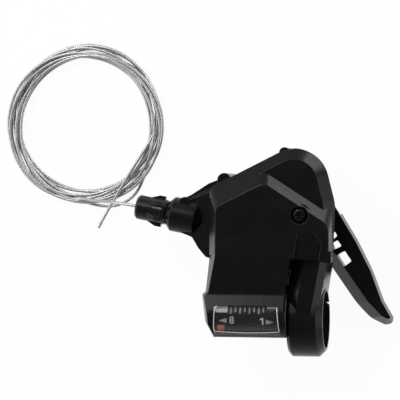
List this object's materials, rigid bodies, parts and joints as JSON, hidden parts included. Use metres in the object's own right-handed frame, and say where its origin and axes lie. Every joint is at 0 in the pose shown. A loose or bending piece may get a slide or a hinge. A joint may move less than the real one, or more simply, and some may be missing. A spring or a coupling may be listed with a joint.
{
  "type": "trigger gear shifter",
  "caption": "Bar-mounted trigger gear shifter: moulded housing with an indicator window, split bar clamp, thumb lever, ratchet spool, barrel adjuster and a coiled free inner cable.",
  "frame": {"origin": "on the axis of the handlebar clamp's bore, near its middle", "axes": "+X along the bar towards the lever side, +Y from the bar to the mechanism, +Z out of the cover"},
  "size_m": [0.1593, 0.1255, 0.0406],
  "materials": {
    "black_plastic": "satin, fine grain",
    "knob_plastic": "semi-gloss",
    "clear_lens": "clear, polished",
    "dial": "printed",
    "marker": "satin",
    "inner_plastic": "natural",
    "plated_steel": "zinc plated",
    "spring_steel": "bright",
    "black_screws": "black oxide",
    "stem_metal": "turned",
    "cable_steel": "stranded, bright",
    "tip_metal": "crimped"
  },
  "bodies": {
    "housing": {"top_cover": "black_plastic", "base_housing": "black_plastic", "lower_cover": "black_plastic", "clamp_bracket": "black_plastic", "window_lens": "clear_lens", "scale_plate": "dial", "base_plate": "plated_steel", "main_axle": "plated_steel", "axle_clip": "plated_steel", "hold_pawl_post": "plated_steel", "idler_pin": "plated_steel", "clamp_insert": "plated_steel", "hold_pawl_spring": "spring_steel", "lever_spring": "spring_steel", "adjuster_spring": "spring_steel", "cover_screw": "black_screws", "lower_screw_1": "black_screws", "lower_screw_2": "black_screws", "lower_screw_3": "black_screws", "clamp_bolt": "black_screws", "bracket_screw_1": "black_screws", "bracket_screw_2": "black_screws", "inner_cable": "cable_steel", "cable_lead": "cable_steel", "cable_coil": "cable_steel", "cable_tail": "cable_steel", "cable_tip": "tip_metal"},
    "trigger": {"trigger_lever": "black_plastic", "drive_pawl_pin": "plated_steel", "drive_pawl_spring": "spring_steel"},
    "drive_pawl": {"drive_pawl": "plated_steel"},
    "spool": {"cable_spool": "inner_plastic", "ratchet_wheel": "plated_steel", "cable_head": "plated_steel"},
    "hold_pawl": {"hold_pawl": "plated_steel"},
    "release": {"release_lever": "black_plastic"},
    "idler": {"idler_gear": "inner_plastic"},
    "indicator": {"indicator_slider": "inner_plastic", "indicator_marker": "marker"},
    "adjuster": {"barrel_adjuster": "knob_plastic", "adjuster_stem": "stem_metal"}
  },
  "joints": [
    {"name": "trigger_push", "type": "hinge", "parent": "housing", "child": "trigger", "pos_m": [-0.005, 0.0414, -0.012], "axis": [0, 0, 1], "range_deg": [0, 45], "stiffness_Nm_per_rad": 0.12, "springref_deg": -20.05},
    {"name": "drive_pawl_swing", "type": "hinge", "parent": "trigger", "child": "drive_pawl", "pos_m": [-0.01546, 0.05187, -0.0056], "axis": [0, 0, 1], "range_deg": [-6, 8.4], "stiffness_Nm_per_rad": 0.01},
    {"name": "spool_turn", "type": "hinge", "parent": "housing", "child": "spool", "pos_m": [-0.005, 0.0414, 0], "axis": [0, 0, 1], "range_deg": [0, 105]},
    {"name": "hold_pawl_swing", "type": "hinge", "parent": "housing", "child": "hold_pawl", "pos_m": [-0.00117, 0.0557, -0.0056], "axis": [0, 0, 1], "range_deg": [-6, 8.4], "stiffness_Nm_per_rad": 0.01},
    {"name": "release_tap", "type": "hinge", "parent": "housing", "child": "release", "pos_m": [-0.005, 0.0414, -0.015], "axis": [0, 0, -1], "range_deg": [0, 12], "stiffness_Nm_per_rad": 0.06, "springref_deg": -11.46},
    {"name": "idler_turn", "type": "hinge", "parent": "housing", "child": "idler", "pos_m": [-0.01447, 0.0285, 0.0077], "axis": [0, 0, 1], "range_deg": [-175.2, 0]},
    {"name": "indicator_slide", "type": "slide", "parent": "housing", "child": "indicator", "axis": [1, 0, 0], "range_m": [0, 0.01835]},
    {"name": "adjuster_turn", "type": "hinge", "parent": "housing", "child": "adjuster", "pos_m": [-0.06843, 0.04372, 0], "axis": [-0.981, 0.1942, 0], "range_deg": [-720, 720]}
  ],
  "couplings": [
    {"joint": "idler_turn", "follows": "spool_turn", "ratio": -1.6667},
    {"joint": "indicator_slide", "follows": "spool_turn", "m_per_rad": 0.01}
  ]
}
